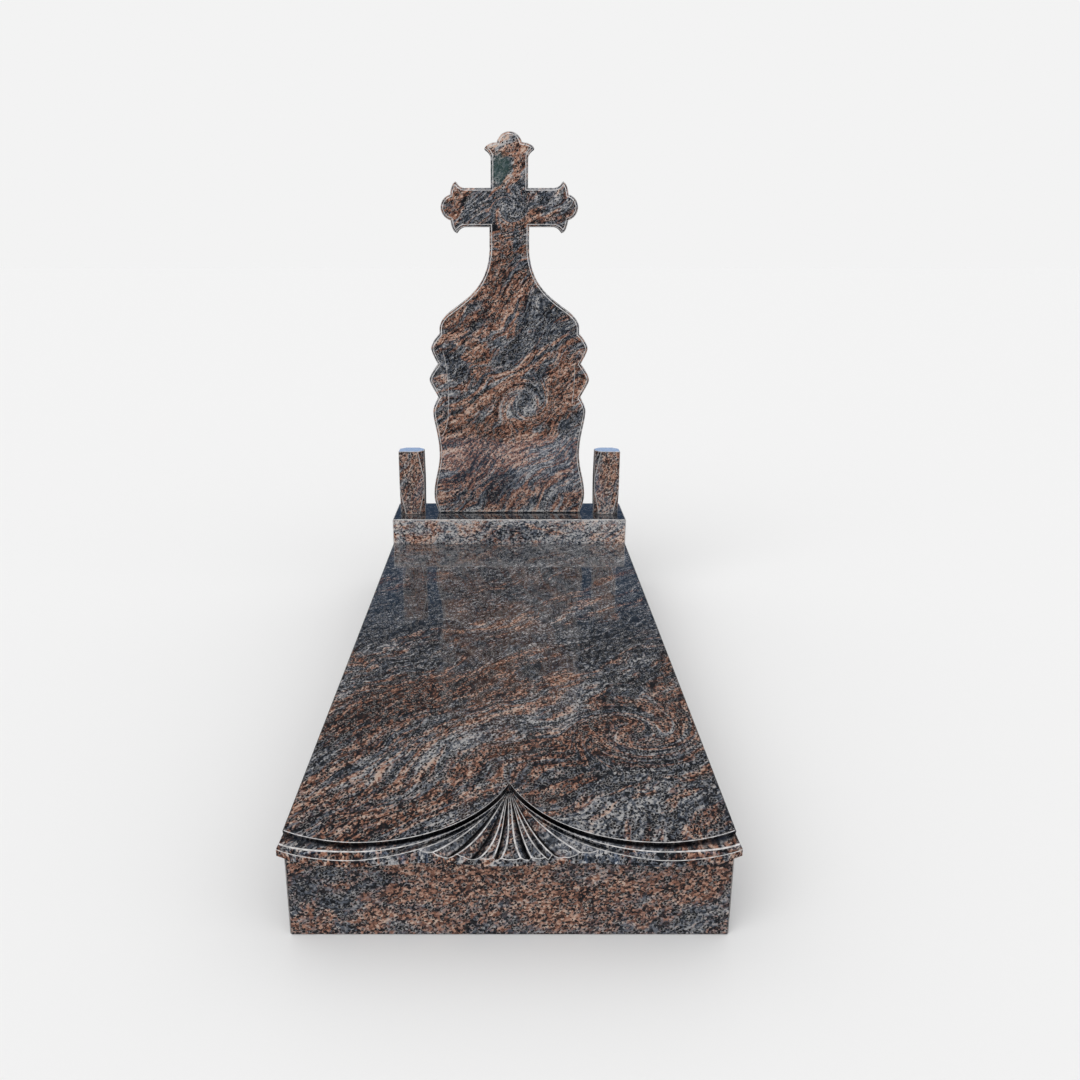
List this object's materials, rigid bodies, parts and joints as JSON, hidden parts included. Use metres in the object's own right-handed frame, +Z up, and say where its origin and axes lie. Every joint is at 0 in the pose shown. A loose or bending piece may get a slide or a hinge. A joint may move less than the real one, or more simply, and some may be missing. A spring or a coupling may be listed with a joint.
{
  "type": "cross headstone with cover slab",
  "caption": "Polished granite grave monument: a trefoil-ended cross headstone between short posts, on a plinth and kerb, with a cover slab whose front end is carved as draped cloth.",
  "frame": {"origin": "on the ground, under the middle of the whole monument", "axes": "+Z up, +Y from the draped foot end towards the headstone, +X to the right of someone who faces the headstone"},
  "size_m": [0.948, 2.2497, 1.7818],
  "materials": {
    "kerb_granite": "polished granite, brown-red and charcoal",
    "ledger_granite": "highly polished granite, grey-pink and charcoal bands",
    "plinth_granite": "polished granite with pale arrises",
    "headstone_granite": "polished granite, flowing red and blue-grey bands",
    "post_granite": "polished granite, brown-red with dark specks"
  },
  "bodies": {
    "root": {"kerb_front": "kerb_granite", "kerb_left": "kerb_granite", "kerb_right": "kerb_granite", "kerb_rear": "kerb_granite", "ledger": "ledger_granite", "plinth": "plinth_granite", "headstone": "headstone_granite", "post_left": "post_granite", "post_right": "post_granite"}
  },
  "joints": []
}
